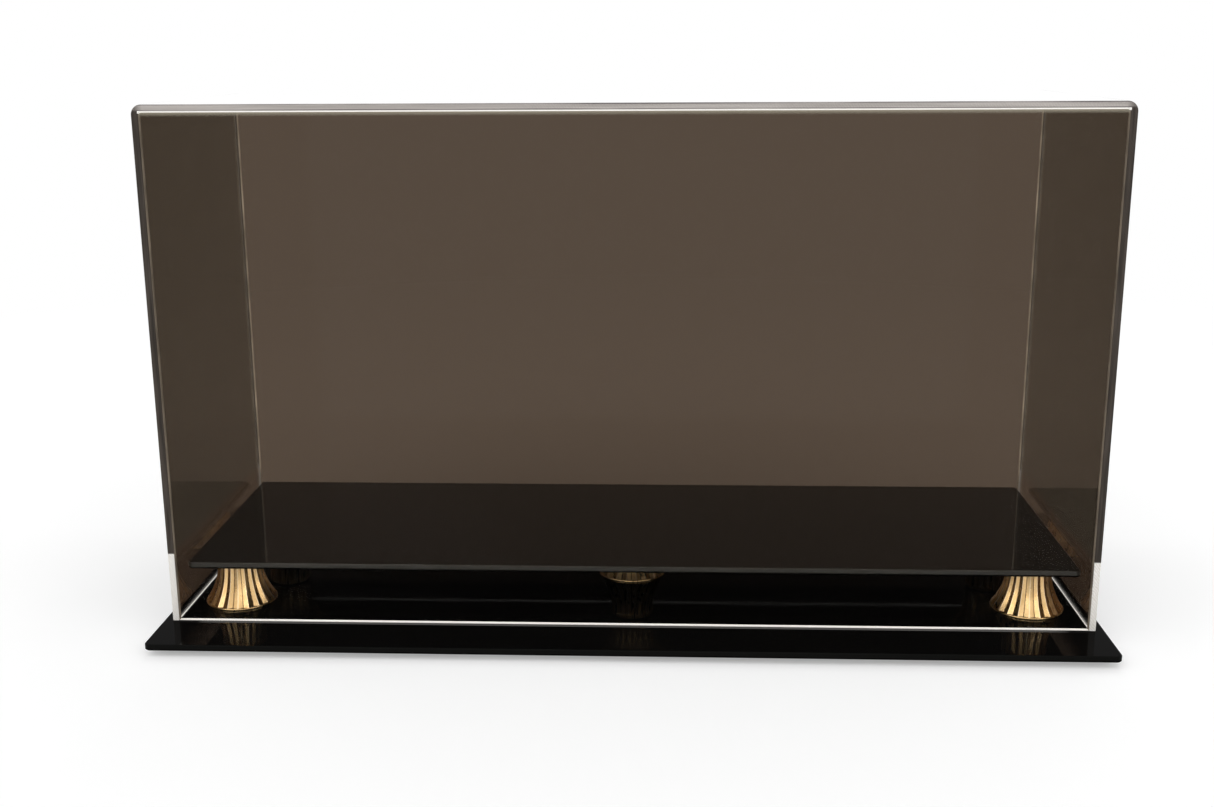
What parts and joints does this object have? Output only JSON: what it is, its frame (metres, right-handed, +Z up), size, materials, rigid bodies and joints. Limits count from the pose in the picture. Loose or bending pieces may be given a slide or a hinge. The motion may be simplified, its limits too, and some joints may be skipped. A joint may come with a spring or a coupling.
{
  "type": "display case",
  "caption": "Lift-off acrylic display case: a smoke-tinted cover with a clear front stands on a black base, over a raised black platform held up on pleated gold risers.",
  "frame": {"origin": "on the table, under the middle of the base", "axes": "+X to the right along the case, +Y to the back, +Z up"},
  "size_m": [0.439, 0.204, 0.245],
  "materials": {
    "black_acrylic": "polished black acrylic sheet",
    "smoke_acrylic": "transparent smoke-bronze acrylic sheet, bright sawn edges",
    "clear_acrylic": "clear acrylic sheet, bright sawn edges",
    "gold_plating": "gold-metallised moulded plastic, mirror gloss",
    "zinc_steel": "zinc-plated steel",
    "bonding_tape": "black foam bonding tape",
    "foot_rubber": "soft black bumper rubber"
  },
  "bodies": {
    "base": {"base_plate": "black_acrylic", "display_platform": "black_acrylic", "riser_screws": "zinc_steel", "front_left_riser": "gold_plating", "front_right_riser": "gold_plating", "back_left_riser": "gold_plating", "back_right_riser": "gold_plating", "centre_riser": "gold_plating", "front_left_disc": "bonding_tape", "front_right_disc": "bonding_tape", "back_left_disc": "bonding_tape", "back_right_disc": "bonding_tape", "centre_disc": "bonding_tape", "front_left_foot": "foot_rubber", "front_right_foot": "foot_rubber", "back_left_foot": "foot_rubber", "back_right_foot": "foot_rubber"},
    "cover": {"cover_wrap": "smoke_acrylic", "front_panel": "clear_acrylic", "back_panel": "smoke_acrylic"}
  },
  "joints": [
    {"name": "cover_lift", "type": "slide", "parent": "base", "child": "cover", "axis": [0, 0, 1], "range_m": [0, 0.24]}
  ]
}
